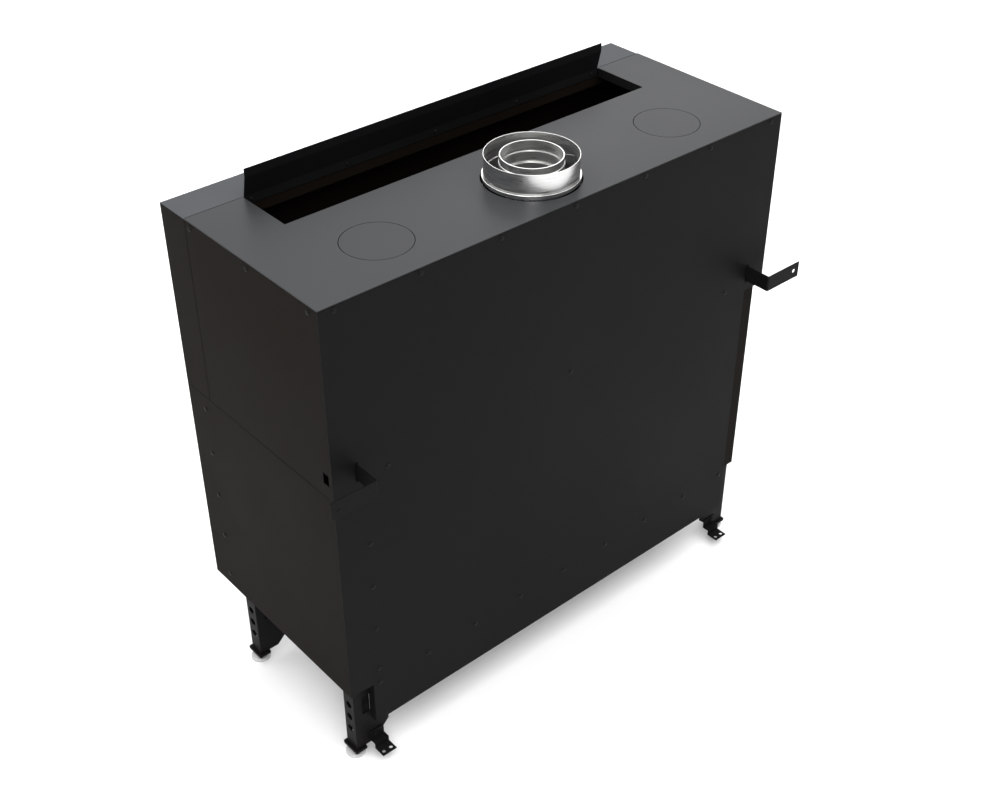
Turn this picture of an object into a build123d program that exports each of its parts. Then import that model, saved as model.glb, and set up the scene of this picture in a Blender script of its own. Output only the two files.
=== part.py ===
"""Built-in gas fireplace with a balanced flue: casing, firebox, flue spigots, legs and wall fixings.

Lengths are millimetres.  X runs across the width, +Y to the back of the appliance, +Z up from the floor.
"""
import os

from build123d import *

os.makedirs("parts", exist_ok=True)

# Casing
case_width = 1278.0
case_depth = 550.0
case_height = 1005.0
leg_height = 229.0
upper_height = 446.0
skirt_drop = 121.0
sheet = 1.5
top_sheet = 2.0
panel_gap = 1.0
seam_gap = 0.6
slip = 0.3
flange = 20.0
hood_depth = 94.0
hood_step = 2.0
hood_flange = 42.0

# Warm-air slot and its upstand
slot_width = 1003.0
slot_depth = 151.0
upstand_length = 998.0
upstand_foot = 20.0
upstand_bend = 47.5
upstand_height = 66.5
upstand_lean = 11.5

# Flue
flue_inset = 137.0
flue_hole_radius = 108.0
outer_radius = 101.5
outer_rise = 55.0
outer_sleeve = 44.0
outer_neck = 1.2
collar_radius = 105.2
collar_height = 10.0
inner_bore_radius = 65.4
inner_radius = 68.0
inner_rise = 52.6
inner_socket_depth = 110.0
inner_seat_depth = 24.0
bead_rise = 35.0
bead_size = 2.0
tube_radius = 64.0
tube_rise = 28.0
restrictor_bore = 58.0
restrictor_rise = 4.0
restrictor_height = 12.0
strap_height = 20.0
strap_spread = 34.0
tube_wall = 1.5

# Knock-outs in the top
knockout_radius = 75.0
knockout_slit = 1.2
knockout_offset = 404.0
knockout_inset = 135.0
knockout_tab = 3.0
knockout_tabs = 4

# Back, service side and floor tray
notch_inset = 62.0
service_inset_x = 15.0
service_inset_y = 11.0
leg_pass = 5.0
air_slot_length = 150.0
air_slot_width = 10.0
air_slot_pitch = 187.5
air_slot_count = 5
air_slot_rows = 4

# Warm-air guide behind the slot
guide_drop = 210.0
guide_lip = 60.0

# Firebox
box_side_inset = 134.0
box_lift = 33.0
box_height = 478.0
box_front_setback = 30.0
air_way_depth = 45.0
box_corner = 70.0
box_sheet = 2.0
rim = 14.0
liner_thick = 6.0
liner_gap = 1.0
rib_pitch = 45.0
rib_width = 12.0
rib_depth = 2.5
baffle_width = 420.0
baffle_depth = 190.0
baffle_drop = 50.0
stand_width = 60.0
relief_x = 330.0
relief_width = 150.0
relief_depth = 70.0
flap_lap = 10.0
hinge_wire = 2.0
lug_thick = 3.0
lug_height = 14.0

# Glass and front
frame_section = 24.0
frame_depth = 14.0
frame_gap = 5.0
glass_thick = 4.0
rope_radius = 3.0
front_margin = 4.0
hinge_pin_radius = 3.0

# Air box
air_width = 270.0
air_rise = 165.0
air_front = 120.0
air_port_height = 40.0

# Burner and fire bed
tray_width = 860.0
tray_depth = 250.0
tray_height = 34.0
tray_setback = 50.0
burner_width = 760.0
burner_depth = 70.0
burner_height = 22.0
port_radius = 3.0
port_pitch = 40.0
bed_setback = 105.0
bed_margin = 8.0
bed_height = 26.0
bed_taper = 20.0
log_radius = 30.0
log_half = 90.0
log_bend = 26.0
log_count = 4
log_spread = 205.0
log_turn = 24.0
pilot_inset = 60.0
pilot_post = 46.0

# Legs, seen as the right rear one; the others are shifted or mirrored
leg_face_inset = 18.4
leg_depth = 40.0
leg_width = 21.6
leg_sheet = 2.0
leg_back_inset = 21.8
leg_spacing = 398.6
leg_overlap = 191.0
plate_reach = 92.1
plate_top = 200.0
plate_bottom = 27.0
plate_chamfer = 42.0
window_width = 22.0
window_height = 54.0
window_top = 184.0
leg_hole_radius = 9.5
leg_hole_pitch = 38.5
leg_hole_top = 161.0
base_width = 32.0
base_depth = 51.0
base_thick = 6.0
base_bottom = 19.0
foot_inset = 9.1
foot_radius = 23.5
foot_height = 8.0
stud_radius = 5.0
stud_length = 62.0
nut_across = 17.0
nut_height = 8.0
rail_lift = 39.0
rail_length = 212.0
clamp_rise = 110.0
clamp_radius = 4.0
clamp_head = 13.0
clamp_head_height = 5.0

# Wall brackets
bracket_inset = 60.0
bracket_sheet = 2.0
bracket_height = 40.0
bracket_drop = 398.0
bracket_reach = 67.0
bracket_span = 112.0
bracket_hole_radius = 5.25
bracket_hole_edge = 17.5
bracket_bend = 4.0
bracket_tail = 118.0
bracket_slot_height = 49.0
bracket_slot_width = 8.0
guide_length = 50.0
strap_slot_width = 19.0
strap_slot_height = 27.0
strap_slot_edge = 11.0

# Floor anchors
anchor_inset = 55.6
anchor_width = 38.0
anchor_sheet = 2.5
anchor_top = 60.0
anchor_shelf = 34.0
anchor_tab = 20.0
anchor_step = 18.0
anchor_reach = 50.0
anchor_hole_radius = 4.5
anchor_hole_pitch = 20.0
anchor_hole_edge = 10.0
anchor_travel = 5.0
anchor_bolt_radius = 3.0
anchor_bolt_inset = 46.6
anchor_head_radius = 6.0
anchor_head_height = 3.0

# Gas train under the tray
valve_x = -330.0
valve_width = 110.0
valve_depth = 60.0
valve_height = 56.0
valve_drop = 12.0
spindle_radius = 4.0
knob_radius = 21.0
knob_height = 20.0
pipe_radius = 4.0
riser_offset = 60.0
cock_x = -470.0
cock_radius = 11.0
cock_length = 46.0
inlet_radius = 7.6
inlet_length = 24.0
lever_length = 52.0
receiver_x = 60.0
receiver_width = 130.0
receiver_depth = 85.0
receiver_height = 34.0

# Positions that follow
total_depth = case_depth + bracket_reach
front_y = -total_depth / 2
back_y = front_y + case_depth
half_width = case_width / 2
top_z = leg_height + case_height
seam_z = top_z - upper_height
skirt_z = leg_height - skirt_drop
hood_y = front_y + hood_depth
slot_back_y = hood_y + slot_depth
flue_y = back_y - flue_inset
sleeve_low = top_z + outer_rise - outer_sleeve
neck_radius = outer_radius - outer_neck
panel_top = top_z - top_sheet - panel_gap
inner_face = half_width - sheet
notch_x = half_width - notch_inset
service_x = half_width - service_inset_x
service_y = back_y - service_inset_y
tray_z = leg_height
leg_back_y = back_y - leg_back_inset
leg_face = half_width - leg_face_inset
leg_inner = leg_face - leg_width
plate_inner = leg_face - plate_reach
leg_top = leg_height + leg_overlap
rail_bottom = leg_height + rail_lift
bracket_x = half_width - bracket_inset
bracket_z = top_z - bracket_drop
anchor_x = leg_face - anchor_inset
anchor_bolt_x = leg_face - anchor_bolt_inset
box_width = 2 * (half_width - box_side_inset)
box_bottom = leg_height + box_lift
box_top = box_bottom + box_height
box_front_y = front_y + box_front_setback
box_back_y = back_y - flange - air_way_depth
box_depth = box_back_y - box_front_y
air_top = box_top + air_rise
air_front_y = flue_y - air_front
foot_x = leg_face - foot_inset
base_top = base_bottom + base_thick
tray_front_y = box_front_y + tray_setback
burner_y = tray_front_y + burner_depth
bed_mid_y = tray_front_y + (bed_setback + tray_depth) / 2
riser_x = valve_x + valve_width / 2 + riser_offset


def save(part, name):
    """Label a finished piece and write it."""
    part.label = name
    export_step(part, f"parts/{name}.step")


def slab(x_low, x_high, y_low, y_high):
    """A rectangle given by its two corners."""
    with Locations(((x_low + x_high) / 2, (y_low + y_high) / 2)):
        Rectangle(x_high - x_low, y_high - y_low)


def tube_profile(r_in, r_out, z_low, z_high):
    """Half section of a straight tube on the flue's axis."""
    with Locations(((r_in + r_out) / 2, (z_low + z_high) / 2)):
        Rectangle(r_out - r_in, z_high - z_low)


flue_section = Plane(origin=(0, flue_y, 0), x_dir=(1, 0, 0), z_dir=(0, -1, 0))
flue_axis = Axis((0, flue_y, 0), (0, 0, 1))

# Top plate: open at its front for the warm-air slot, turned down round the slot and along the edges
with BuildPart() as top_plate:
    with BuildSketch(Plane.XY.offset(top_z - top_sheet)):
        slab(-half_width, half_width, hood_y, back_y)
        with Locations((0, (hood_y + slot_back_y) / 2)):
            Rectangle(slot_width, slot_depth, mode=Mode.SUBTRACT)
        with Locations((0, flue_y)):
            Circle(flue_hole_radius, mode=Mode.SUBTRACT)
        with Locations(*[(s * knockout_offset, back_y - knockout_inset) for s in (-1, 1)]):
            Circle(knockout_radius, mode=Mode.SUBTRACT)
    extrude(amount=top_sheet)
    with BuildSketch(Plane.XY.offset(top_z - top_sheet)):
        slab(-inner_face, inner_face, back_y - 2 * sheet, back_y - sheet)
        for s in (-1, 1):
            with Locations((s * (inner_face - sheet / 2), (hood_y + back_y) / 2)):
                Rectangle(sheet, back_y - hood_y - 2 * sheet)
            with Locations((s * (slot_width + sheet) / 2, (hood_y + slot_back_y) / 2)):
                Rectangle(sheet, slot_depth)
        with Locations((0, slot_back_y + sheet / 2)):
            Rectangle(slot_width + 2 * sheet, sheet)
    extrude(amount=-flange)
save(top_plate.part, "top_plate")

# Knock-out discs, held by small tabs across the slit
with BuildPart() as knock_out_discs:
    with BuildSketch(Plane.XY.offset(top_z - top_sheet)):
        with Locations(*[(s * knockout_offset, back_y - knockout_inset) for s in (-1, 1)]):
            Circle(knockout_radius - knockout_slit)
            with PolarLocations(knockout_radius - knockout_slit, knockout_tabs):
                Rectangle(2 * (knockout_slit - slip), knockout_tab)
    extrude(amount=top_sheet)
save(knock_out_discs.part, "knock_out_discs")

# Front hood: the strip in front of the slot, the upper front and its two side returns
with BuildPart() as front_hood:
    with BuildSketch(Plane.XY.offset(seam_z)):
        slab(-half_width, half_width, front_y, hood_y - seam_gap)
    extrude(amount=top_z - hood_step - seam_z)
    hood_open = [front_hood.faces().sort_by(Axis.Y)[-1], front_hood.faces().sort_by(Axis.Z)[0]]
    offset(amount=-sheet, openings=hood_open)
    with BuildSketch(Plane.XZ.offset(-(hood_y - seam_gap))):
        with Locations((0, top_z - hood_step - hood_flange / 2)):
            Rectangle(2 * inner_face, hood_flange)
    extrude(amount=sheet)
save(front_hood.part, "front_hood")

# Upstand that stands along the front edge of the slot
upstand_y = hood_y - seam_gap
with BuildPart() as slot_upstand:
    with BuildSketch(Plane.YZ.offset(-upstand_length / 2)):
        with BuildLine():
            upstand_line = Polyline(
                (upstand_y, top_z - upstand_foot),
                (upstand_y, top_z),
                (upstand_y + upstand_lean, top_z + upstand_bend),
                (upstand_y + upstand_lean, top_z + upstand_height),
            )
            offset(upstand_line, amount=sheet, side=Side.RIGHT, kind=Kind.INTERSECTION)
        make_face()
    extrude(amount=upstand_length)
save(slot_upstand.part, "slot_upstand")

# Upper side panels, with a ledge along the seam and a small strap slot
for side, name in ((1, "right"), (-1, "left")):
    with BuildPart() as upper_side:
        with BuildSketch(Plane.YZ.offset(inner_face)):
            slab(hood_y, back_y - sheet, seam_z, panel_top)
            with Locations((back_y - strap_slot_edge - strap_slot_width / 2, bracket_z - slip)):
                Rectangle(strap_slot_width, strap_slot_height, mode=Mode.SUBTRACT)
        extrude(amount=sheet)
        with BuildSketch(Plane.XY.offset(seam_z)):
            slab(inner_face - flange, inner_face, hood_y, back_y - sheet)
        extrude(amount=sheet)
        if side < 0:
            mirror(about=Plane.YZ, mode=Mode.REPLACE)
    save(upper_side.part, f"upper_side_{name}")

# Back panel: notched at the lower corners and folded in along the notches and the service side
skirt_width = 2 * notch_x
with BuildPart() as back_panel:
    with BuildSketch(Plane.XZ.offset(-back_y)):
        slab(-half_width, half_width, seam_z, panel_top)
        slab(-notch_x, half_width, leg_height, seam_z)
        slab(-notch_x, notch_x, skirt_z, leg_height)
        with Locations(*[(s * bracket_x, bracket_z - slip) for s in (-1, 1)]):
            Rectangle(bracket_slot_width, bracket_slot_height, mode=Mode.SUBTRACT)
    extrude(amount=sheet)
    with BuildSketch(Plane.XY.offset(skirt_z)):
        for s in (-1, 1):
            with Locations((s * (notch_x - sheet / 2), back_y - flange / 2)):
                Rectangle(sheet, flange)
        with Locations((0, back_y - flange / 2)):
            Rectangle(skirt_width, flange)
            Rectangle(skirt_width - 2 * sheet, flange, mode=Mode.SUBTRACT)
    extrude(amount=skirt_drop)
    with BuildSketch(Plane.XY.offset(leg_height)):
        with Locations((-(notch_x - sheet / 2), back_y - flange / 2)):
            Rectangle(sheet, flange)
    extrude(amount=seam_z - leg_height)
    with BuildSketch(Plane.XY.offset(skirt_z)):
        slab(-notch_x, notch_x, back_y - flange, back_y)
    extrude(amount=sheet)
save(back_panel.part, "back_panel")

# Lower side panel on the closed side
with BuildPart() as lower_side_right:
    with BuildSketch(Plane.YZ.offset(inner_face)):
        slab(front_y, back_y - sheet, leg_height, seam_z - seam_gap)
    extrude(amount=sheet)
    with BuildSketch(Plane.XY.offset(seam_z - seam_gap)):
        slab(inner_face - flange, inner_face, front_y + sheet, hood_y)
    extrude(amount=-sheet)
save(lower_side_right.part, "lower_side_right")

# Service panel, set in on the side of the gas valve, with a flange toward the folded edge of the back
with BuildPart() as service_side_left:
    with BuildSketch(Plane.YZ.offset(-service_x)):
        slab(front_y + sheet, service_y, leg_height, seam_z - seam_gap)
    extrude(amount=sheet)
    with BuildSketch(Plane.XZ.offset(-service_y)):
        slab(-service_x, -notch_x, leg_height, seam_z - seam_gap)
    extrude(amount=sheet)
save(service_side_left.part, "service_side_left")

# Floor tray of the casing, cut out where the legs pass and pierced with air slots
leg_y_low = leg_back_y - leg_depth
pass_width = half_width - plate_inner + 2 * leg_pass
with BuildPart() as floor_tray:
    with BuildSketch(Plane.XY.offset(tray_z)):
        slab(-(service_x - sheet), inner_face, front_y + sheet, back_y - flange)
        for shift in (0, leg_spacing):
            for s in (-1, 1):
                with Locations((s * (plate_inner + half_width) / 2, leg_y_low + leg_depth / 2 - shift)):
                    Rectangle(pass_width, leg_depth + 2 * leg_pass, mode=Mode.SUBTRACT)
        with Locations((0, box_back_y - box_depth / 2)):
            with GridLocations(air_slot_pitch, 3 * air_slot_width, air_slot_count, air_slot_rows):
                SlotOverall(air_slot_length, air_slot_width, mode=Mode.SUBTRACT)
        with Locations((riser_x, burner_y)):
            Circle(pipe_radius + slip, mode=Mode.SUBTRACT)
    extrude(amount=sheet)
    with BuildSketch(Plane.XY.offset(tray_z)):
        with Locations((0, back_y - flange + sheet / 2)):
            Rectangle(2 * plate_inner - 2 * leg_pass, sheet)
        with Locations((0, front_y + 3 * sheet / 2)):
            Rectangle(2 * plate_inner - 4 * leg_pass, sheet)
    extrude(amount=flange)
save(floor_tray.part, "floor_tray")

# Front plate with the opening that the glass frame stands in
glass_width = box_width + 2 * rim
glass_low = box_bottom - rim
glass_high = box_top + rim
with BuildPart() as front_plate:
    with BuildSketch(Plane.XZ.offset(-front_y)):
        slab(-(service_x - sheet), inner_face, leg_height, seam_z - seam_gap)
        slab_height = glass_high - glass_low + 2 * front_margin
        with Locations((0, (glass_low + glass_high) / 2)):
            Rectangle(glass_width + 2 * front_margin, slab_height, mode=Mode.SUBTRACT)
    extrude(amount=-sheet)
    ledge_z = seam_z - seam_gap - sheet
    with BuildSketch(Plane.XY.offset(ledge_z)):
        slab(-(service_x - sheet), inner_face - flange, front_y + sheet, front_y + flange)
    extrude(amount=sheet)
save(front_plate.part, "front_plate")

# Firebox: cropped back corners, open front with an outward rim, flue hole and two relief ports
with BuildPart() as firebox:
    with BuildSketch(Plane.XY.offset(box_bottom)):
        slab(-box_width / 2, box_width / 2, box_front_y, box_back_y)
        chamfer(vertices().group_by(Axis.Y)[-1], length=box_corner)
    extrude(amount=box_top - box_bottom)
    offset(amount=-box_sheet, openings=firebox.faces().sort_by(Axis.Y)[0])
    with BuildSketch(Plane.XZ.offset(-box_front_y)):
        with Locations((0, (glass_low + glass_high) / 2)):
            Rectangle(glass_width, glass_high - glass_low)
            Rectangle(box_width - 2 * box_sheet, box_top - box_bottom - 2 * box_sheet, mode=Mode.SUBTRACT)
    extrude(amount=-box_sheet)
    with BuildSketch(Plane.XY.offset(box_top - 2 * box_sheet)):
        with Locations((0, flue_y)):
            Circle(tube_radius - tube_wall)
        with Locations(*[(s * relief_x, flue_y - air_front) for s in (-1, 1)]):
            Rectangle(relief_width, relief_depth)
    extrude(amount=4 * box_sheet, mode=Mode.SUBTRACT)
    with BuildSketch(Plane.XY.offset(box_bottom)):
        with Locations((riser_x, burner_y)):
            Circle(pipe_radius + slip)
    extrude(amount=box_sheet, mode=Mode.SUBTRACT)
    with BuildSketch(Plane.XZ.offset(-(box_back_y - 2 * box_sheet))):
        with Locations((0, box_bottom + air_port_height)):
            Rectangle(air_width - 8 * box_sheet, air_port_height)
    extrude(amount=-4 * box_sheet, mode=Mode.SUBTRACT)
save(firebox.part, "firebox")

# Stands that carry the firebox on the floor tray
with BuildPart() as firebox_stands:
    with BuildSketch(Plane.XY.offset(tray_z + sheet)):
        for s in (-1, 1):
            with Locations((s * (box_width / 2 - stand_width), (box_front_y + box_back_y) / 2)):
                Rectangle(stand_width, box_depth - 2 * box_corner)
                Rectangle(stand_width - 2 * box_sheet, box_depth, mode=Mode.SUBTRACT)
    extrude(amount=box_bottom - tray_z - sheet)
save(firebox_stands.part, "firebox_stands")

# Ribbed liners of the firebox
liner_low = box_bottom + box_sheet
liner_high = box_top - box_sheet - liner_gap
back_liner_width = box_width - 2 * box_corner - 2 * box_sheet - 2 * liner_thick
with BuildPart() as liner_back:
    with BuildSketch(Plane.XY.offset(liner_low)):
        with Locations((0, box_back_y - box_sheet - liner_gap / 2 - liner_thick / 2)):
            Rectangle(back_liner_width, liner_thick)
        rib_count = int(back_liner_width // rib_pitch)
        with Locations((0, box_back_y - box_sheet - liner_gap / 2 - liner_thick)):
            with GridLocations(rib_pitch, 0, rib_count, 1):
                Rectangle(rib_width, 2 * rib_depth, mode=Mode.SUBTRACT)
    extrude(amount=liner_high - liner_low)
    with BuildSketch(Plane.XZ.offset(-(box_back_y - box_sheet))):
        with Locations((0, box_bottom + air_port_height)):
            Rectangle(air_width - 8 * box_sheet, air_port_height)
    extrude(amount=2 * liner_thick, mode=Mode.SUBTRACT)
save(liner_back.part, "liner_back")

side_liner_depth = box_depth - box_corner - 4 * box_sheet - liner_thick
side_ribs = int(side_liner_depth // rib_pitch)
liner_x = box_width / 2 - box_sheet - liner_gap / 2 - liner_thick / 2
liner_mid_y = box_front_y + 2 * box_sheet + side_liner_depth / 2
with BuildPart() as liner_sides:
    with BuildSketch(Plane.XY.offset(liner_low)):
        with Locations((liner_x, liner_mid_y), (-liner_x, liner_mid_y)):
            Rectangle(liner_thick, side_liner_depth)
        for s in (-1, 1):
            with Locations((s * (liner_x - liner_thick / 2), liner_mid_y)):
                with GridLocations(0, rib_pitch, 1, side_ribs):
                    Rectangle(2 * rib_depth, rib_width, mode=Mode.SUBTRACT)
    extrude(amount=liner_high - liner_low)
save(liner_sides.part, "liner_sides")

# Baffle hung under the flue outlet
baffle_y = box_back_y - box_sheet - liner_gap - liner_thick - baffle_depth / 2
with BuildPart() as flue_baffle:
    with BuildSketch(Plane.XY.offset(box_top - box_sheet - baffle_drop)):
        with Locations((0, baffle_y)):
            RectangleRounded(baffle_width, baffle_depth, 2 * liner_thick)
    extrude(amount=sheet)
    with BuildSketch(Plane.XY.offset(box_top - box_sheet - baffle_drop)):
        for s in (-1, 1):
            with Locations((s * (baffle_width - sheet) / 2, baffle_y)):
                Rectangle(sheet, baffle_depth / 2)
    extrude(amount=baffle_drop)
save(flue_baffle.part, "flue_baffle")

# Relief flaps on the roof of the firebox, lifting about their back edges
flap_y = flue_y - air_front
flap_back_y = flap_y + relief_depth / 2 + flap_lap
for side, name in ((1, "right"), (-1, "left")):
    with BuildPart() as relief_flap:
        with BuildSketch(Plane.XY.offset(box_top)):
            with Locations((relief_x, flap_y)):
                Rectangle(relief_width + 2 * flap_lap, relief_depth + 2 * flap_lap)
        extrude(amount=box_sheet)
        with BuildSketch(Plane.YZ.offset(relief_x - relief_width / 3)):
            with Locations((flap_back_y, box_top + hinge_wire + slip)):
                Circle(hinge_wire)
        extrude(amount=2 * relief_width / 3)
        if side < 0:
            mirror(about=Plane.YZ, mode=Mode.REPLACE)
    save(relief_flap.part, f"relief_flap_{name}")

# Hinge lugs of the flaps
with BuildPart() as flap_lugs:
    for s in (-1, 1):
        for end in (-1, 1):
            lug_x = s * relief_x + end * (relief_width / 3 + lug_thick / 2 + slip)
            with BuildSketch(Plane.YZ.offset(lug_x - lug_thick / 2)):
                with Locations((flap_back_y + 3 * hinge_wire, box_top + lug_height / 2)):
                    Rectangle(4 * hinge_wire, lug_height)
            extrude(amount=lug_thick)
save(flap_lugs.part, "flap_lugs")

# Air box round the flue outlet and down the back of the firebox
with BuildPart() as air_box:
    with BuildSketch(Plane.YZ.offset(-air_width / 2)):
        with BuildLine():
            Polyline(
                (box_back_y, box_bottom),
                (back_y - flange, box_bottom),
                (back_y - flange, air_top),
                (air_front_y, air_top),
                (air_front_y, box_top),
                (box_back_y, box_top),
                close=True,
            )
        make_face()
    extrude(amount=air_width)
    box_faces = air_box.faces()
    fire_side = box_faces.filter_by(Plane.XZ).filter_by_position(Axis.Y, box_back_y - 1, box_back_y + 1)
    roof_side = box_faces.filter_by(Plane.XY).filter_by_position(Axis.Z, box_top - 1, box_top + 1)
    offset(amount=-sheet, openings=fire_side + roof_side)
    with BuildSketch(Plane.XY.offset(air_top - 2 * sheet)):
        with Locations((0, flue_y)):
            Circle(neck_radius - tube_wall)
    extrude(amount=4 * sheet, mode=Mode.SUBTRACT)
save(air_box.part, "air_box")

# Flue tubes and spigots: the outer one is drawn in below its sleeve
with BuildPart() as outer_spigot:
    with BuildSketch(flue_section):
        tube_profile(outer_radius - tube_wall, outer_radius, sleeve_low, top_z + outer_rise)
        tube_profile(neck_radius - tube_wall, outer_radius, sleeve_low, sleeve_low + tube_wall)
        tube_profile(neck_radius - tube_wall, neck_radius, air_top, sleeve_low)
        tube_profile(neck_radius - tube_wall, neck_radius + 3 * tube_wall, air_top, air_top + tube_wall)
    revolve(axis=flue_axis)
save(outer_spigot.part, "outer_spigot")

with BuildPart() as spigot_collar:
    with BuildSketch(flue_section):
        tube_profile(neck_radius + slip, collar_radius, top_z, top_z + collar_height)
        tube_profile(neck_radius + slip, flue_hole_radius - slip, top_z - flange, top_z - flange + sheet)
        tube_profile(neck_radius + slip, neck_radius + slip + sheet, top_z - flange, top_z)
    revolve(axis=flue_axis)
    fillet(spigot_collar.edges().filter_by(GeomType.CIRCLE).group_by(Axis.Z)[-1], radius=sheet / 2)
save(spigot_collar.part, "spigot_collar")

socket_low = top_z + inner_rise - inner_socket_depth
with BuildPart() as inner_spigot:
    with BuildSketch(flue_section):
        seat_z = top_z + inner_rise - inner_seat_depth
        tube_profile(inner_bore_radius, inner_radius, seat_z, top_z + inner_rise)
        tube_profile(tube_radius + slip, inner_radius, socket_low, seat_z)
        with Locations((inner_radius, top_z + bead_rise)):
            Circle(bead_size)
    revolve(axis=flue_axis)
save(inner_spigot.part, "inner_spigot")

with BuildPart() as flue_tube:
    with BuildSketch(flue_section):
        tube_profile(tube_radius - tube_wall, tube_radius, box_top, top_z + tube_rise)
    revolve(axis=flue_axis)
save(flue_tube.part, "flue_tube")

with BuildPart() as flue_restrictor:
    with BuildSketch(flue_section):
        ring_outer = tube_radius - tube_wall - slip
        restrictor_z = top_z + restrictor_rise
        tube_profile(restrictor_bore, ring_outer, restrictor_z - tube_wall, restrictor_z)
        tube_profile(ring_outer - tube_wall, ring_outer, restrictor_z - restrictor_height, restrictor_z)
    revolve(axis=flue_axis)
save(flue_restrictor.part, "flue_restrictor")

# Bent spacer straps that centre the inner tube in the outer one
strap_out = outer_radius - tube_wall - 2 * slip
strap_in = inner_radius + slip
with BuildPart() as flue_spacers:
    for s in (-1, 1):
        with BuildSketch(Plane.XY.offset(top_z + bead_rise - bead_size - slip - strap_height)):
            with BuildLine():
                tip_x = (strap_out**2 - strap_spread**2) ** 0.5 - 2 * tube_wall
                strap_line = Polyline(
                    (s * tip_x, flue_y - strap_spread),
                    (s * strap_in, flue_y),
                    (s * tip_x, flue_y + strap_spread),
                )
                strap_side = Side.RIGHT if s > 0 else Side.LEFT
                offset(strap_line, amount=tube_wall, side=strap_side, kind=Kind.INTERSECTION)
            make_face()
        extrude(amount=strap_height)
save(flue_spacers.part, "flue_spacers")

# Plate that guides warm air up to the slot, hung from the slot's back flange
guide_y = slot_back_y + sheet
with BuildPart() as warm_air_guide:
    with BuildSketch(Plane.YZ.offset(-slot_width / 2)):
        with BuildLine():
            guide_line = Polyline(
                (guide_y, top_z - top_sheet - panel_gap),
                (guide_y, top_z - guide_drop),
                (guide_y + guide_lip, top_z - guide_drop - guide_lip),
            )
            offset(guide_line, amount=sheet, side=Side.LEFT, kind=Kind.INTERSECTION)
        make_face()
    extrude(amount=slot_width)
save(warm_air_guide.part, "warm_air_guide")

# Glass frame, its ceramic glass and rope seal, tilting about pins at the bottom
frame_back_y = box_front_y - 2 * rope_radius - slip
frame_front_y = frame_back_y - frame_depth
frame_height = glass_high - glass_low
frame_mid_z = (glass_low + glass_high) / 2
glass_edge = frame_section / 2
pin_y = frame_front_y + frame_depth / 2
pin_z = glass_low + hinge_pin_radius + sheet
with BuildPart() as glass_frame:
    with BuildSketch(Plane.XZ.offset(-frame_front_y)):
        with Locations((0, frame_mid_z)):
            RectangleRounded(glass_width, frame_height, frame_gap)
            Rectangle(glass_width - 2 * frame_section, frame_height - 2 * frame_section, mode=Mode.SUBTRACT)
    extrude(amount=-frame_depth)
    front_rim = glass_frame.faces().sort_by(Axis.Y)[0].edges()
    chamfer(front_rim, length=sheet)
    with BuildSketch(Plane.XZ.offset(-frame_back_y)):
        with Locations((0, frame_mid_z)):
            Rectangle(glass_width - 2 * glass_edge, frame_height - 2 * glass_edge)
    extrude(amount=glass_thick + slip, mode=Mode.SUBTRACT)
    for s in (-1, 1):
        with BuildSketch(Plane.YZ.offset(s * glass_width / 2)):
            with Locations((pin_y, pin_z)):
                Circle(hinge_pin_radius)
        extrude(amount=s * (lug_thick + 2 * slip))
save(glass_frame.part, "glass_frame")

with BuildPart() as glass_pane:
    with BuildSketch(Plane.XZ.offset(-(frame_back_y - glass_thick))):
        with Locations((0, frame_mid_z)):
            pane_slack = 2 * glass_edge + 2 * slip
            RectangleRounded(glass_width - pane_slack, frame_height - pane_slack, sheet)
    extrude(amount=-glass_thick)
save(glass_pane.part, "glass_pane")

with BuildPart() as glass_rope:
    rope_y = frame_back_y + rope_radius
    rope_inset = rim
    rope_corner = 4 * rope_radius
    with BuildLine(Plane.XZ.offset(-rope_y)) as rope_path:
        with BuildSketch(Plane.XZ, mode=Mode.PRIVATE) as rope_frame:
            with Locations((0, frame_mid_z)):
                RectangleRounded(glass_width - rope_inset, frame_height - rope_inset, rope_corner)
        add(rope_frame.sketch.faces()[0].outer_wire().moved(Location((0, rope_y, 0))))
    with BuildSketch(Plane(rope_path.line @ 0, z_dir=rope_path.line % 0)):
        RegularPolygon(rope_radius, 8)
    sweep(transition=Transition.RIGHT)
save(glass_rope.part, "glass_rope")

# Lugs behind the front plate that hold the pins of the glass frame
with BuildPart() as glass_hinge_lugs:
    for s in (-1, 1):
        lug_start = glass_width / 2 + slip if s > 0 else -(glass_width / 2 + slip + lug_thick)
        with BuildSketch(Plane.YZ.offset(lug_start)):
            slab(front_y + sheet, box_front_y, pin_z - 2 * hinge_pin_radius, pin_z + 2 * hinge_pin_radius)
            with Locations((pin_y, pin_z)):
                Circle(hinge_pin_radius + slip, mode=Mode.SUBTRACT)
        extrude(amount=lug_thick)
save(glass_hinge_lugs.part, "glass_hinge_lugs")

# Burner tray with its raised burner and the rows of gas ports
tray_mid_y = tray_front_y + tray_depth / 2
with BuildPart() as burner_tray:
    with BuildSketch(Plane.XY.offset(box_bottom + box_sheet)):
        with Locations((0, tray_mid_y)):
            RectangleRounded(tray_width, tray_depth, 2 * liner_thick)
    extrude(amount=tray_height)
    offset(amount=-box_sheet, openings=burner_tray.faces().sort_by(Axis.Z)[-1])
    with BuildSketch(Plane.XY.offset(box_bottom + box_sheet)):
        with Locations((riser_x, burner_y)):
            Circle(pipe_radius + slip)
    extrude(amount=box_sheet, mode=Mode.SUBTRACT)
save(burner_tray.part, "burner_tray")

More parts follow.
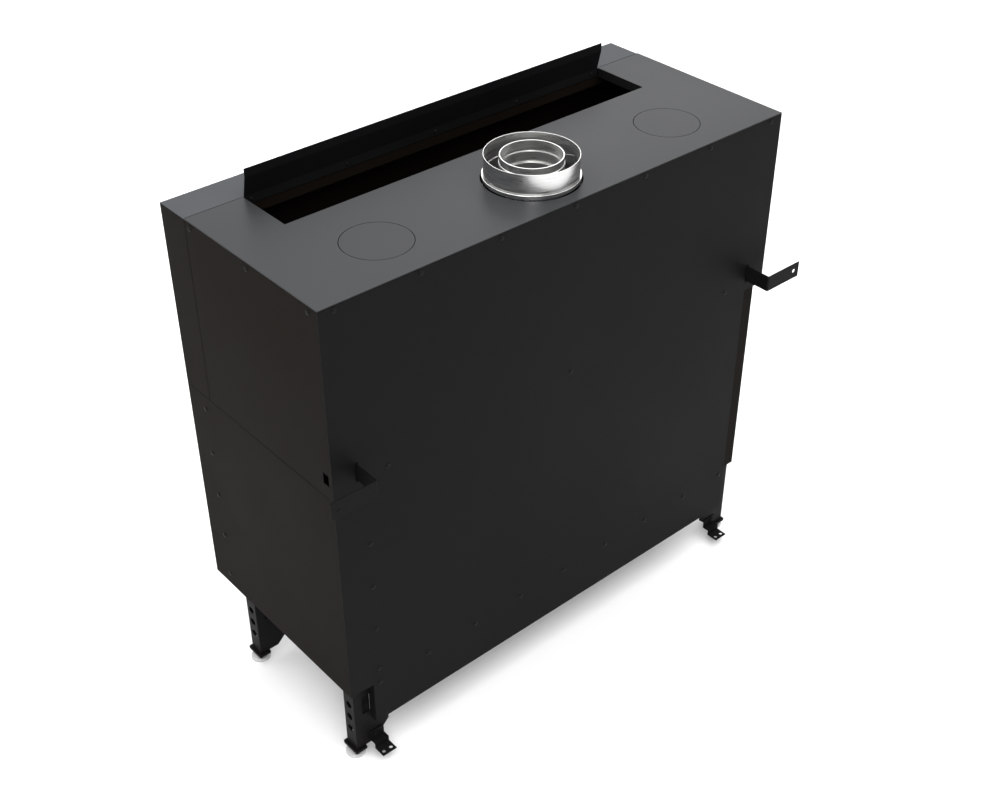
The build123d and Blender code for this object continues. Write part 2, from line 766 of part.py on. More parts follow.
burner_low = box_bottom + 2 * box_sheet
with BuildPart() as burner:
    with BuildSketch(Plane.XY.offset(burner_low)):
        with Locations((0, burner_y)):
            SlotOverall(burner_width, burner_depth)
    extrude(amount=burner_height)
    fillet(burner.faces().sort_by(Axis.Z)[-1].edges(), radius=2 * sheet)
    with BuildSketch(Plane.XY.offset(burner_low + burner_height)):
        with Locations((0, burner_y)):
            port_count = int((burner_width - 2 * burner_depth) // port_pitch)
            with GridLocations(port_pitch, burner_depth / 2, port_count, 2):
                RegularPolygon(port_radius, 6)
    extrude(amount=-burner_height / 2, mode=Mode.SUBTRACT)
save(burner.part, "burner")

with BuildPart() as ember_bed:
    with BuildSketch(Plane.XY.offset(burner_low)):
        with Locations((0, bed_mid_y - box_sheet)):
            Rectangle(tray_width - 2 * bed_margin, tray_depth - bed_setback - 2 * bed_margin)
    extrude(amount=bed_height, taper=bed_taper)
save(ember_bed.part, "ember_bed")

# Ceramic logs, bent and tapered, laid side by side on the ember bed
log_low = burner_low + bed_height + slip
log_stations = ((-1.0, 0.72, 0.0), (-0.45, 0.95, 0.7), (0.1, 1.0, 1.0), (0.6, 0.85, 0.6), (1.0, 0.62, 0.1))
with BuildPart() as fire_logs:
    for index in range(log_count):
        log_x = (index - (log_count - 1) / 2) * log_spread
        bend = log_bend if index % 2 else -log_bend
        log_plane = Plane(origin=(log_x, bed_mid_y, log_low + log_radius), x_dir=(0, 0, 1), z_dir=(1, 0, 0))
        for along, size, rise in log_stations:
            with BuildSketch(log_plane.offset(along * log_half)):
                with Locations((-(1 - size) * log_radius, (rise - 0.5) * bend)):
                    RegularPolygon(size * log_radius, 9, rotation=log_turn)
        loft(ruled=True)
save(fire_logs.part, "fire_logs")

# Pilot burner at the front of the tray
pilot_x = -tray_width / 2 + pilot_inset
with BuildPart() as pilot_burner:
    with BuildSketch(Plane.XY.offset(box_bottom + box_sheet)):
        with Locations((pilot_x, box_front_y + tray_setback / 2)):
            Rectangle(5 * pipe_radius, 4 * pipe_radius)
    extrude(amount=box_sheet)
    with BuildSketch(Plane.XY.offset(box_bottom + 2 * box_sheet)):
        with Locations((pilot_x - 1.4 * pipe_radius, box_front_y + tray_setback / 2)):
            Circle(pipe_radius)
        with Locations((pilot_x + 1.4 * pipe_radius, box_front_y + tray_setback / 2)):
            Circle(pipe_radius / 2)
    extrude(amount=pilot_post)
save(pilot_burner.part, "pilot_burner")

# Rails inside the casing that the legs slide in
corners = [(side, end) for end in ("rear", "front") for side in ("right", "left")]
with BuildPart() as leg_rails:
    for side, end in corners:
        s = -1 if side == "left" else 1
        mid_y = leg_back_y - leg_depth / 2 - (0.0 if end == "rear" else leg_spacing)
        wall_x = service_x - sheet if side == "left" else inner_face
        rail_x = leg_inner - slip - leg_sheet
        with BuildSketch(Plane.XY.offset(rail_bottom)):
            with Locations((s * (rail_x + wall_x) / 2, mid_y)):
                Rectangle(wall_x - rail_x, leg_depth + 2 * slip + 2 * leg_sheet)
            with Locations((s * (rail_x + leg_sheet + wall_x) / 2, mid_y)):
                Rectangle(wall_x - rail_x - leg_sheet, leg_depth + 2 * slip, mode=Mode.SUBTRACT)
        extrude(amount=rail_length)
        with BuildSketch(Plane.YZ.offset(s * rail_x)):
            with Locations((mid_y, rail_bottom + clamp_rise)):
                Circle(clamp_radius + slip)
        extrude(amount=s * leg_sheet, mode=Mode.SUBTRACT)
save(leg_rails.part, "leg_rails")

# Legs with their welded base plates and captive nuts, and the levelling feet
for side, end in corners:
    rear_y = leg_back_y - (0.0 if end == "rear" else leg_spacing)
    low_y = rear_y - leg_depth
    mid_y = rear_y - leg_depth / 2
    flip = side == "left"

    with BuildPart() as leg:
        with BuildSketch(Plane.XY.offset(base_top)):
            slab(leg_inner, leg_face, low_y, rear_y)
            with Locations((leg_inner + (leg_width - leg_sheet) / 2, mid_y)):
                Rectangle(leg_width - leg_sheet, leg_depth - 2 * leg_sheet, mode=Mode.SUBTRACT)
        extrude(amount=leg_top - base_top)
        with BuildSketch(Plane.XZ.offset(-rear_y)):
            with BuildLine():
                Polyline(
                    (leg_inner, plate_bottom),
                    (plate_inner + plate_chamfer, plate_bottom),
                    (plate_inner, plate_bottom + plate_chamfer),
                    (plate_inner, plate_top - plate_chamfer / 2),
                    (plate_inner + plate_chamfer / 2, plate_top),
                    (leg_inner, plate_top),
                    close=True,
                )
            make_face()
        extrude(amount=leg_sheet)
        with BuildSketch(Plane.XZ.offset(-rear_y)):
            with Locations((leg_inner - window_width / 2 - slip, window_top - window_height / 2)):
                Rectangle(window_width, window_height)
        extrude(amount=leg_sheet, mode=Mode.SUBTRACT)
        with BuildSketch(Plane.YZ.offset(leg_face)):
            with Locations((mid_y, leg_hole_top - leg_hole_pitch)):
                with GridLocations(0, leg_hole_pitch, 1, 3):
                    Circle(leg_hole_radius)
        extrude(amount=-leg_sheet, mode=Mode.SUBTRACT)
        outer_bends = leg.edges().filter_by(Axis.Z).group_by(Axis.X)[-1]
        fillet(outer_bends, radius=leg_sheet)
        with BuildSketch(Plane.XY.offset(base_bottom)):
            with Locations((foot_x, mid_y)):
                RectangleRounded(base_width, base_depth, base_thick / 2)
        extrude(amount=base_thick)
        with BuildSketch(Plane.XY.offset(base_top)):
            with Locations((foot_x, mid_y)):
                RegularPolygon(nut_across / 2, 6)
        extrude(amount=nut_height)
        with BuildSketch(Plane.XY.offset(base_bottom)):
            with Locations((foot_x, mid_y)):
                Circle(stud_radius + slip)
        extrude(amount=base_thick + nut_height, mode=Mode.SUBTRACT)
        if flip:
            mirror(about=Plane.YZ, mode=Mode.REPLACE)
    save(leg.part, f"leg_{end}_{side}")

    with BuildPart() as level_foot:
        with BuildSketch(Plane.XY):
            with Locations((foot_x, mid_y)):
                Circle(foot_radius)
        extrude(amount=foot_height)
        chamfer(level_foot.faces().sort_by(Axis.Z)[-1].edges(), length=foot_height / 3)
        with BuildSketch(Plane.XY.offset(foot_height)):
            with Locations((foot_x, mid_y)):
                Circle(stud_radius)
        extrude(amount=stud_length)
        if flip:
            mirror(about=Plane.YZ, mode=Mode.REPLACE)
    save(level_foot.part, f"level_foot_{end}_{side}")

# Clamp bolts that lock the legs in their rails
with BuildPart() as leg_clamp_bolts:
    head_x = leg_inner - slip - leg_sheet
    for side, end in corners:
        s = -1 if side == "left" else 1
        mid_y = leg_back_y - leg_depth / 2 - (0.0 if end == "rear" else leg_spacing)
        with BuildSketch(Plane.YZ.offset(s * head_x)):
            with Locations((mid_y, rail_bottom + clamp_rise)):
                RegularPolygon(clamp_head / 2, 6)
        extrude(amount=-s * clamp_head_height)
        with BuildSketch(Plane.YZ.offset(s * head_x)):
            with Locations((mid_y, rail_bottom + clamp_rise)):
                Circle(clamp_radius)
        extrude(amount=s * (leg_face - leg_sheet - slip - head_x))
save(leg_clamp_bolts.part, "leg_clamp_bolts")

# Guides of the wall brackets behind the slots of the back panel
with BuildPart() as bracket_guides:
    with BuildSketch(Plane.XZ.offset(-(back_y - sheet))):
        with Locations((bracket_x, bracket_z), (-bracket_x, bracket_z)):
            Rectangle(3 * bracket_slot_width, bracket_slot_height + 2 * leg_sheet)
        with Locations((bracket_x, bracket_z), (-bracket_x, bracket_z)):
            Rectangle(bracket_sheet + 2 * slip, bracket_height + 2 * slip, mode=Mode.SUBTRACT)
    extrude(amount=guide_length)
save(bracket_guides.part, "bracket_guides")

# Wall brackets that slide out of the back, and the floor anchors on the rear legs
anchor_y = leg_back_y
bolt_clear = anchor_bolt_radius + slip
for side in ("right", "left"):
    flip = side == "left"
    with BuildPart() as wall_bracket:
        with BuildSketch(Plane.XY.offset(bracket_z - bracket_height / 2)):
            with BuildLine():
                arm_x = bracket_x - bracket_sheet / 2
                arm = FilletPolyline(
                    (arm_x, back_y - bracket_tail),
                    (arm_x, back_y + bracket_reach),
                    (arm_x + bracket_span, back_y + bracket_reach),
                    radius=bracket_bend,
                )
                offset(arm, amount=bracket_sheet, side=Side.RIGHT, kind=Kind.INTERSECTION)
            make_face()
        extrude(amount=bracket_height)
        hole_x = arm_x + bracket_span - bracket_hole_edge
        with BuildSketch(Plane.XZ.offset(-(back_y + bracket_reach))):
            with Locations((hole_x, bracket_z)):
                Circle(bracket_hole_radius)
        extrude(amount=bracket_sheet * 2, both=True, mode=Mode.SUBTRACT)
        if flip:
            mirror(about=Plane.YZ, mode=Mode.REPLACE)
    save(wall_bracket.part, f"wall_bracket_{side}")

    with BuildPart() as floor_anchor:
        with BuildSketch(Plane.YZ.offset(anchor_x - anchor_width / 2)):
            with BuildLine():
                anchor_line = Polyline(
                    (anchor_y + slip, anchor_top),
                    (anchor_y + slip, anchor_shelf),
                    (anchor_y + slip + anchor_step, anchor_shelf),
                    (anchor_y + slip + anchor_step, anchor_tab),
                    (anchor_y + anchor_reach, anchor_tab),
                )
                offset(anchor_line, amount=anchor_sheet, side=Side.LEFT, kind=Kind.INTERSECTION)
            make_face()
        extrude(amount=anchor_width)
        bolt_z = (anchor_top + anchor_shelf + anchor_sheet) / 2
        with BuildSketch(Plane.XZ.offset(-anchor_y)):
            with Locations((anchor_bolt_x, bolt_z)):
                SlotOverall(2 * (bolt_clear + anchor_travel), 2 * bolt_clear, rotation=90)
        extrude(amount=-anchor_step / 2, mode=Mode.SUBTRACT)
        with BuildSketch(Plane.XY.offset(anchor_tab - anchor_sheet)):
            with Locations((anchor_x, anchor_y + anchor_reach - anchor_hole_edge)):
                with GridLocations(anchor_hole_pitch, 0, 2, 1):
                    Circle(anchor_hole_radius)
        extrude(amount=3 * anchor_sheet, mode=Mode.SUBTRACT)
        if flip:
            mirror(about=Plane.YZ, mode=Mode.REPLACE)
    save(floor_anchor.part, f"floor_anchor_{side}")

    with BuildPart() as anchor_bolt:
        with BuildSketch(Plane.XZ.offset(-anchor_y)):
            with Locations((anchor_bolt_x, bolt_z)):
                Circle(anchor_bolt_radius)
        extrude(amount=-(slip + anchor_sheet + slip))
        with BuildSketch(Plane.XZ.offset(-(anchor_y + anchor_sheet + 2 * slip))):
            with Locations((anchor_bolt_x, bolt_z)):
                Circle(anchor_head_radius)
        extrude(amount=-anchor_head_height)
        if flip:
            mirror(about=Plane.YZ, mode=Mode.REPLACE)
    save(anchor_bolt.part, f"anchor_bolt_{side}")

# Gas valve under the floor tray, its bracket, knob, cock with lever, and pipes
valve_y = burner_y
valve_top = tray_z - valve_drop
valve_mid_z = valve_top - valve_height / 2
with BuildPart() as valve_bracket:
    with BuildSketch(Plane.XY.offset(valve_top)):
        with Locations((valve_x, valve_y)):
            Rectangle(valve_width, valve_depth)
            Rectangle(valve_width - 2 * sheet, valve_depth, mode=Mode.SUBTRACT)
    extrude(amount=valve_drop)
    with BuildSketch(Plane.XY.offset(valve_top)):
        with Locations((valve_x, valve_y)):
            Rectangle(valve_width, valve_depth)
    extrude(amount=sheet)
save(valve_bracket.part, "valve_bracket")

with BuildPart() as gas_valve:
    with BuildSketch(Plane.XY.offset(valve_top - valve_height)):
        with Locations((valve_x, valve_y)):
            RectangleRounded(valve_width, valve_depth, 2 * spindle_radius)
    extrude(amount=valve_height)
    chamfer(gas_valve.faces().sort_by(Axis.Z)[0].edges(), length=spindle_radius)
    with BuildSketch(Plane.XZ.offset(-(valve_y - valve_depth / 2))):
        with Locations((valve_x, valve_mid_z)):
            Circle(2 * spindle_radius)
    extrude(amount=spindle_radius)
    with BuildSketch(Plane.XZ.offset(-(valve_y - valve_depth / 2 - spindle_radius))):
        with Locations((valve_x, valve_mid_z)):
            Circle(spindle_radius)
    extrude(amount=knob_height / 2)
save(gas_valve.part, "gas_valve")

knob_back_y = valve_y - valve_depth / 2 - spindle_radius - slip
with BuildPart() as valve_knob:
    with BuildSketch(Plane.XZ.offset(-knob_back_y)):
        with Locations((valve_x, valve_mid_z)):
            Circle(knob_radius)
            with PolarLocations(knob_radius + spindle_radius / 2, 12):
                Circle(spindle_radius, mode=Mode.SUBTRACT)
    extrude(amount=knob_height, taper=6)
    with BuildSketch(Plane.XZ.offset(-knob_back_y)):
        with Locations((valve_x, valve_mid_z)):
            Circle(spindle_radius + slip)
    extrude(amount=knob_height / 2 + slip, mode=Mode.SUBTRACT)
save(valve_knob.part, "valve_knob")

# Isolating cock with its inlet union, facing the service side
cock_end_x = cock_x + cock_length / 2
with BuildPart() as gas_cock:
    with BuildSketch(Plane.YZ.offset(cock_x - cock_length / 2)):
        with Locations((valve_y, valve_mid_z)):
            Circle(cock_radius)
    extrude(amount=cock_length)
    with BuildSketch(Plane.YZ.offset(cock_x - cock_length / 2 - inlet_length)):
        with Locations((valve_y, valve_mid_z)):
            RegularPolygon(1.2 * cock_radius, 6)
    extrude(amount=inlet_length)
    with BuildSketch(Plane.YZ.offset(cock_x - cock_length / 2 - inlet_length)):
        with Locations((valve_y, valve_mid_z)):
            Circle(inlet_radius)
    extrude(amount=inlet_length, mode=Mode.SUBTRACT)
    with BuildSketch(Plane.XY.offset(valve_mid_z - 1.6 * cock_radius)):
        with Locations((cock_x, valve_y)):
            Circle(spindle_radius)
    extrude(amount=cock_radius)
save(gas_cock.part, "gas_cock")

lever_top = valve_mid_z - 1.6 * cock_radius
with BuildPart() as cock_lever:
    with BuildSketch(Plane.XY.offset(lever_top - lug_thick)):
        with Locations((cock_x + lever_length / 2 - cock_radius, valve_y)):
            SlotOverall(lever_length, cock_radius)
    extrude(amount=lug_thick)
    fillet(cock_lever.faces().sort_by(Axis.Z)[0].edges(), radius=lug_thick / 3)
save(cock_lever.part, "cock_lever")

with BuildPart() as gas_pipes:
    with BuildSketch(Plane.YZ.offset(cock_end_x)):
        with Locations((valve_y, valve_mid_z)):
            Circle(pipe_radius)
    extrude(amount=valve_x - valve_width / 2 - cock_end_x)
    pipe_x = valve_x + valve_width / 2
    with BuildLine(Plane.XZ.offset(-valve_y)) as burner_route:
        FilletPolyline(
            (pipe_x, valve_mid_z),
            (riser_x, valve_mid_z),
            (riser_x, burner_low),
            radius=5 * pipe_radius,
        )
    with BuildSketch(Plane.YZ.offset(pipe_x)):
        with Locations((valve_y, valve_mid_z)):
            Circle(pipe_radius)
    sweep(path=burner_route.line)
save(gas_pipes.part, "gas_pipes")

# Receiver box hung under the tray
with BuildPart() as receiver_box:
    with BuildSketch(Plane.XY.offset(tray_z - receiver_height)):
        with Locations((receiver_x, valve_y)):
            RectangleRounded(receiver_width, receiver_depth, 2 * spindle_radius)
    extrude(amount=receiver_height)
    fillet(receiver_box.faces().sort_by(Axis.Z)[0].edges(), radius=spindle_radius / 2)
save(receiver_box.part, "receiver_box")
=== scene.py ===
"""Looks of the built-in gas fireplace: coats, bright flue, screws, small fittings, light and camera."""

import math

import bmesh
import bpy
from mathutils import Matrix, Vector


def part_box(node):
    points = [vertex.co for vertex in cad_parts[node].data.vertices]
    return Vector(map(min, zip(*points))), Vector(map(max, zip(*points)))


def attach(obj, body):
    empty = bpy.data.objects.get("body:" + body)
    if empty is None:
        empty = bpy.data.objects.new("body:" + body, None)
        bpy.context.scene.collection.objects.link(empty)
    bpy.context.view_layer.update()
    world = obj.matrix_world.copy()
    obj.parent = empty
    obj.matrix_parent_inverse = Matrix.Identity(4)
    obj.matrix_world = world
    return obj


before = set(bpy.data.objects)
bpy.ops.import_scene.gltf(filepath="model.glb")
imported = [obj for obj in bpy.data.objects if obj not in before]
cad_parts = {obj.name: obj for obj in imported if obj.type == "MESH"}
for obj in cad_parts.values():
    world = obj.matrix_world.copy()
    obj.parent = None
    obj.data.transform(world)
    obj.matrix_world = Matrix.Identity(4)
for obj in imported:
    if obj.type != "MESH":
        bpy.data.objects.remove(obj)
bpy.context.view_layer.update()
MM = 0.001

# Places read from the frame
plate_low, plate_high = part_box("top_plate")
BACK_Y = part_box("back_panel")[1][1]
FRONT_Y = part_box("front_hood")[0][1]
UPSTAND_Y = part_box("slot_upstand")[0][1]
SIDE_X = plate_high[0]
TOP_Z = plate_high[2]
HOOD_Y = plate_low[1]
MID_Y = (FRONT_Y + BACK_Y) / 2

# Places of the small pieces, across the width and as drops below the top
SCREW_IN = 0.1 * MM
BACK_TOP_PITCH = 201.0
BACK_TOP_DROP = 12.0
BACK_MIDDLE_COLUMNS = (-504.0, 0.0, 504.0)
BACK_MIDDLE_DROP = 421.0
BACK_LOW_PITCH = 140.5
BACK_LOW_DROP = 1009.0
CORNER_COLUMN = 559.0
CORNER_DROPS = (599.0, 719.0, 843.0, 965.0)
SIDE_TOP_COLUMNS = (-163.0, 41.0, 244.0)
SIDE_TOP_DROP = 16.0
FRONT_COLUMN = -208.0
FRONT_DROP = 483.0
FRONT_PITCH = 121.75
FRONT_COUNT = 5
UPSTAND_PITCH = 241.0
UPSTAND_PROUD = 1.6
UPSTAND_DROP = 10.4
HOOD_STEP = 2.0 * MM
SEAM_DROP = 446.0 * MM
LINE_WIDTH = 1.5 * MM
LINE_DEPTH = 0.4 * MM
LINE_BEVEL = 0.1 * MM
TOP_LINE_LENGTH = 137 * MM
TOP_LINE_X = 570.5 * MM
SIDE_LINE_LENGTH = 440 * MM
SIDE_LINE_DROP = 222 * MM
LOW_LINE_LENGTH = 549 * MM
SLOT_DEPTH = 151.0 * MM
CLIP_SIZE = (19 * MM, 1.6 * MM, 9 * MM)
CLIPS = (("slot_clip_a", 33.0), ("slot_clip_b", 57.0))
LEG_INSET = 21.8 * MM
LEG_SPACING = 398.6 * MM
# Size and place of the dark painted-shade sheets behind the leg windows
SHADE_SHEET_SIZE = (21.0 * MM, 1.0 * MM, 60.0 * MM)
SHADE_SHEET_X = 587.4 * MM
SHADE_SHEET_IN = 2.7 * MM
SHADE_SHEET_Z = 157.0 * MM


def link_value(tree, source, target):
    """Connect two sockets."""
    tree.links.new(source, target)


def base_material(name, base, roughness, metallic=0.0):
    """A material with its shader's constant values set; returns the tree and the shader."""
    material = bpy.data.materials.new(name)
    material.use_nodes = True
    tree = material.node_tree
    shader = tree.nodes["Principled BSDF"]
    shader.inputs["Base Color"].default_value = (*base, 1.0)
    shader.inputs["Roughness"].default_value = roughness
    shader.inputs["Metallic"].default_value = metallic
    return material, tree, shader


def noise(tree, scale, detail=3.0, stretch=(1.0, 1.0, 1.0)):
    """Noise over object coordinates, stretched along the axes."""
    place = tree.nodes.new("ShaderNodeTexCoord")
    mapping = tree.nodes.new("ShaderNodeMapping")
    mapping.inputs["Scale"].default_value = stretch
    pattern = tree.nodes.new("ShaderNodeTexNoise")
    pattern.inputs["Scale"].default_value = scale
    pattern.inputs["Detail"].default_value = detail
    link_value(tree, place.outputs["Object"], mapping.inputs["Vector"])
    link_value(tree, mapping.outputs["Vector"], pattern.inputs["Vector"])
    return pattern.outputs["Fac"]


def ramp(tree, source, stops):
    """Colour ramp from (place, colour) pairs."""
    node = tree.nodes.new("ShaderNodeValToRGB")
    band = node.color_ramp
    while len(band.elements) < len(stops):
        band.elements.new(0.5)
    for element, (position, colour) in zip(band.elements, stops):
        element.position = position
        element.color = (*colour, 1.0)
    link_value(tree, source, node.inputs["Fac"])
    return node.outputs["Color"]


def spread(tree, source, low, high):
    """Map a 0 to 1 value to a range."""
    node = tree.nodes.new("ShaderNodeMapRange")
    node.inputs["From Min"].default_value = 0.3
    node.inputs["From Max"].default_value = 0.7
    node.inputs["To Min"].default_value = low
    node.inputs["To Max"].default_value = high
    link_value(tree, source, node.inputs["Value"])
    return node.outputs["Result"]


def add_bump(tree, shader, source, strength, distance, edge=0.0):
    """Bump from a pattern, over edges softened by a bevel of the given radius."""
    node = tree.nodes.new("ShaderNodeBump")
    node.inputs["Strength"].default_value = strength
    node.inputs["Distance"].default_value = distance
    link_value(tree, source, node.inputs["Height"])
    if edge:
        soft = tree.nodes.new("ShaderNodeBevel")
        soft.samples = 4
        soft.inputs["Radius"].default_value = edge
        link_value(tree, soft.outputs["Normal"], node.inputs["Normal"])
    link_value(tree, node.outputs["Normal"], shader.inputs["Normal"])


def tint(colour, factor):
    """A colour made darker or lighter."""
    return tuple(min(1.0, channel * factor) for channel in colour)


def powder_coat(name, colour, rough, grain, grain_depth, shine, patch=0.25, edge=1.2 * MM, painted_light_tone=None):
    """Textured coat on sheet steel: fine grain, soft patches, and, when a colour is given, a painted sheen
    that lightens what faces up.
    """
    material, tree, shader = base_material(name, colour, rough)
    shader.inputs["Specular IOR Level"].default_value = shine
    patches = noise(tree, 2.3, 4.0)
    fine = noise(tree, grain, 2.0)
    mixed = tree.nodes.new("ShaderNodeMix")
    mixed.data_type = "RGBA"
    mixed.blend_type = "MULTIPLY"
    mixed.inputs["Factor"].default_value = 1.0
    tone = ramp(tree, patches, ((0.3, tint(colour, 1.0 - patch)), (0.7, tint(colour, 1.0 + patch))))
    speck = ramp(tree, fine, ((0.35, (0.75, 0.75, 0.75)), (0.65, (1.0, 1.0, 1.0))))
    link_value(tree, tone, mixed.inputs["A"])
    link_value(tree, speck, mixed.inputs["B"])
    coat = mixed.outputs["Result"]
    # Painted sheen: faces that point up are mixed towards the given lighter colour, standing in for the
    # reflection of the overhead light.
    if painted_light_tone:
        facing = tree.nodes.new("ShaderNodeNewGeometry")
        split = tree.nodes.new("ShaderNodeSeparateXYZ")
        sheened_coat = tree.nodes.new("ShaderNodeMix")
        sheened_coat.data_type = "RGBA"
        link_value(tree, facing.outputs["True Normal"], split.inputs["Vector"])
        link_value(tree, split.outputs["Z"], sheened_coat.inputs["Factor"])
        link_value(tree, coat, sheened_coat.inputs["A"])
        tones = ((0.3, tint(painted_light_tone, 0.93)), (0.7, tint(painted_light_tone, 1.07)))
        link_value(tree, ramp(tree, patches, tones), sheened_coat.inputs["B"])
        coat = sheened_coat.outputs["Result"]
    link_value(tree, coat, shader.inputs["Base Color"])
    link_value(tree, spread(tree, patches, rough - 0.05, rough + 0.06), shader.inputs["Roughness"])
    add_bump(tree, shader, fine, grain_depth, 0.15 * MM, edge)
    return material


def bright_metal(name, colour, rough, stretch, streak, streak_depth=0.08, edge=0.6 * MM, spangle=0.0):
    """Bare metal with drawn streaks and, on galvanised sheet, a faint spangle."""
    material, tree, shader = base_material(name, colour, rough, 1.0)
    lines = noise(tree, streak, 4.0, stretch)
    tone = ramp(tree, lines, ((0.3, tint(colour, 0.82)), (0.7, tint(colour, 1.08))))
    if spangle:
        cells = tree.nodes.new("ShaderNodeTexVoronoi")
        cells.inputs["Scale"].default_value = 90.0
        place = tree.nodes.new("ShaderNodeTexCoord")
        link_value(tree, place.outputs["Object"], cells.inputs["Vector"])
        mixed = tree.nodes.new("ShaderNodeMix")
        mixed.data_type = "RGBA"
        mixed.blend_type = "MULTIPLY"
        mixed.inputs["Factor"].default_value = spangle
        grey = tree.nodes.new("ShaderNodeRGBToBW")
        link_value(tree, cells.outputs["Color"], grey.inputs["Color"])
        link_value(tree, tone, mixed.inputs["A"])
        link_value(tree, grey.outputs["Val"], mixed.inputs["B"])
        tone = mixed.outputs["Result"]
    link_value(tree, tone, shader.inputs["Base Color"])
    link_value(tree, spread(tree, lines, rough - 0.05, rough + 0.1), shader.inputs["Roughness"])
    add_bump(tree, shader, lines, streak_depth, 0.2 * MM, edge)
    return material


def mottled(name, dark, light, rough, scale, depth):
    """Ceramic, charred or woven stuff in two mottled tones."""
    material, tree, shader = base_material(name, dark, rough)
    coarse = noise(tree, scale, 8.0)
    stops = ((0.32, tint(dark, 0.5)), (0.5, dark), (0.68, light))
    link_value(tree, ramp(tree, coarse, stops), shader.inputs["Base Color"])
    link_value(tree, spread(tree, coarse, rough - 0.08, min(1.0, rough + 0.08)), shader.inputs["Roughness"])
    add_bump(tree, shader, coarse, depth, 2.0 * MM)
    return material


def clear_glass(name):
    """Ceramic glass with a faint warm tone and a few smears."""
    material, tree, shader = base_material(name, (0.93, 0.91, 0.87), 0.03)
    shader.inputs["Transmission Weight"].default_value = 1.0
    shader.inputs["IOR"].default_value = 1.5
    smear = noise(tree, 3.0, 5.0, (1.0, 1.0, 3.0))
    link_value(tree, spread(tree, smear, 0.02, 0.09), shader.inputs["Roughness"])
    return material


def painted_shade_black(name):
    """Near-black painted shade for the unlit inside of the casing, with a faint dusty mottle."""
    material, tree, shader = base_material(name, (0.004, 0.004, 0.004), 0.9)
    shader.inputs["Specular IOR Level"].default_value = 0.05
    painted_light_tone = noise(tree, 30.0, 5.0)
    tones = ((0.4, (0.003, 0.003, 0.003)), (0.7, (0.008, 0.008, 0.009)))
    link_value(tree, ramp(tree, painted_light_tone, tones), shader.inputs["Base Color"])
    return material


# Painted sheen colours for faces that point up, lighter than the coats, standing in for the reflection of
# the overhead light; strongest on the hood strip as a painted highlight.
TOP_SHEEN = (0.026, 0.0272, 0.029)
DISC_SHEEN = tint(TOP_SHEEN, 0.96)
STRIP_SHEEN = tint(TOP_SHEEN, 2.5)
SIDE_COLOUR = (0.0082, 0.0060, 0.0045)
TOP_COLOUR = (0.0100, 0.0102, 0.0106)
EVEN = (1.0, 1.0, 1.0)
looks = {
    "back": powder_coat("back_coat", (0.0066, 0.0066, 0.0066), 0.58, 650.0, 0.50, 0.055, 0.15),
    "side": powder_coat("side_coat", SIDE_COLOUR, 0.58, 650.0, 0.40, 0.026, 0.20),
    "top": powder_coat("top_coat", TOP_COLOUR, 0.38, 900.0, 0.15, 0.12, 0.10, painted_light_tone=TOP_SHEEN),
    "disc": powder_coat("disc_coat", TOP_COLOUR, 0.38, 900.0, 0.15, 0.12, 0.10, painted_light_tone=DISC_SHEEN),
    "strip": powder_coat("strip_coat", SIDE_COLOUR, 0.58, 650.0, 0.40, 0.026, 0.20, painted_light_tone=STRIP_SHEEN),
    "upstand": powder_coat("upstand_coat", (0.0075, 0.0078, 0.0083), 0.52, 900.0, 0.12, 0.025),
    "leg": powder_coat("leg_coat", (0.0060, 0.0055, 0.0052), 0.45, 500.0, 0.25, 0.05),
    "bracket": powder_coat("bracket_coat", (0.0072, 0.0072, 0.0072), 0.56, 500.0, 0.20, 0.05),
    "firebox": powder_coat("firebox_coat", (0.0100, 0.0098, 0.0095), 0.75, 300.0, 0.30, 0.15),
    "flue": bright_metal("flue_steel", (0.72, 0.72, 0.71), 0.30, (1.0, 1.0, 14.0), 18.0, 0.04),
    "collar": bright_metal("collar_steel", (0.82, 0.82, 0.81), 0.16, (2.0, 2.0, 10.0), 25.0),
    "spangled": bright_metal("galvanised_sheet", (0.52, 0.53, 0.54), 0.38, EVEN, 12.0, 0.05, spangle=0.35),
    "screw": powder_coat("screw_black", (0.0040, 0.0040, 0.0040), 0.34, 900.0, 0.05, 0.14, 0.05, 0.3 * MM),
    "zinc": bright_metal("zinc_plate", (0.80, 0.80, 0.79), 0.26, (1.0, 1.0, 4.0), 60.0),
    "foot": powder_coat("foot_white", (0.62, 0.62, 0.61), 0.45, 400.0, 0.10, 0.50, 0.08),
    "brass": bright_metal("cock_brass", (0.70, 0.50, 0.21), 0.28, (6.0, 1.0, 1.0), 80.0),
    "casting": bright_metal("valve_casting", (0.56, 0.56, 0.57), 0.48, EVEN, 200.0, 0.3),
    "plastic": powder_coat("black_plastic", (0.0150, 0.0150, 0.0155), 0.48, 1500.0, 0.20, 0.45),
    "logs": mottled("log_bark", (0.16, 0.105, 0.068), (0.42, 0.33, 0.25), 0.92, 34.0, 0.9),
    "embers": mottled("ember_chips", (0.05, 0.043, 0.040), (0.24, 0.21, 0.19), 0.95, 120.0, 1.0),
    "rope": mottled("glass_rope_weave", (0.42, 0.40, 0.36), (0.60, 0.58, 0.53), 0.95, 400.0, 0.6),
    "glass": clear_glass("ceramic_pane"),
    "inner_shade": painted_shade_black("painted_inner_shade"),
# Near-black painted shade for the unlit inside of the casing.
}

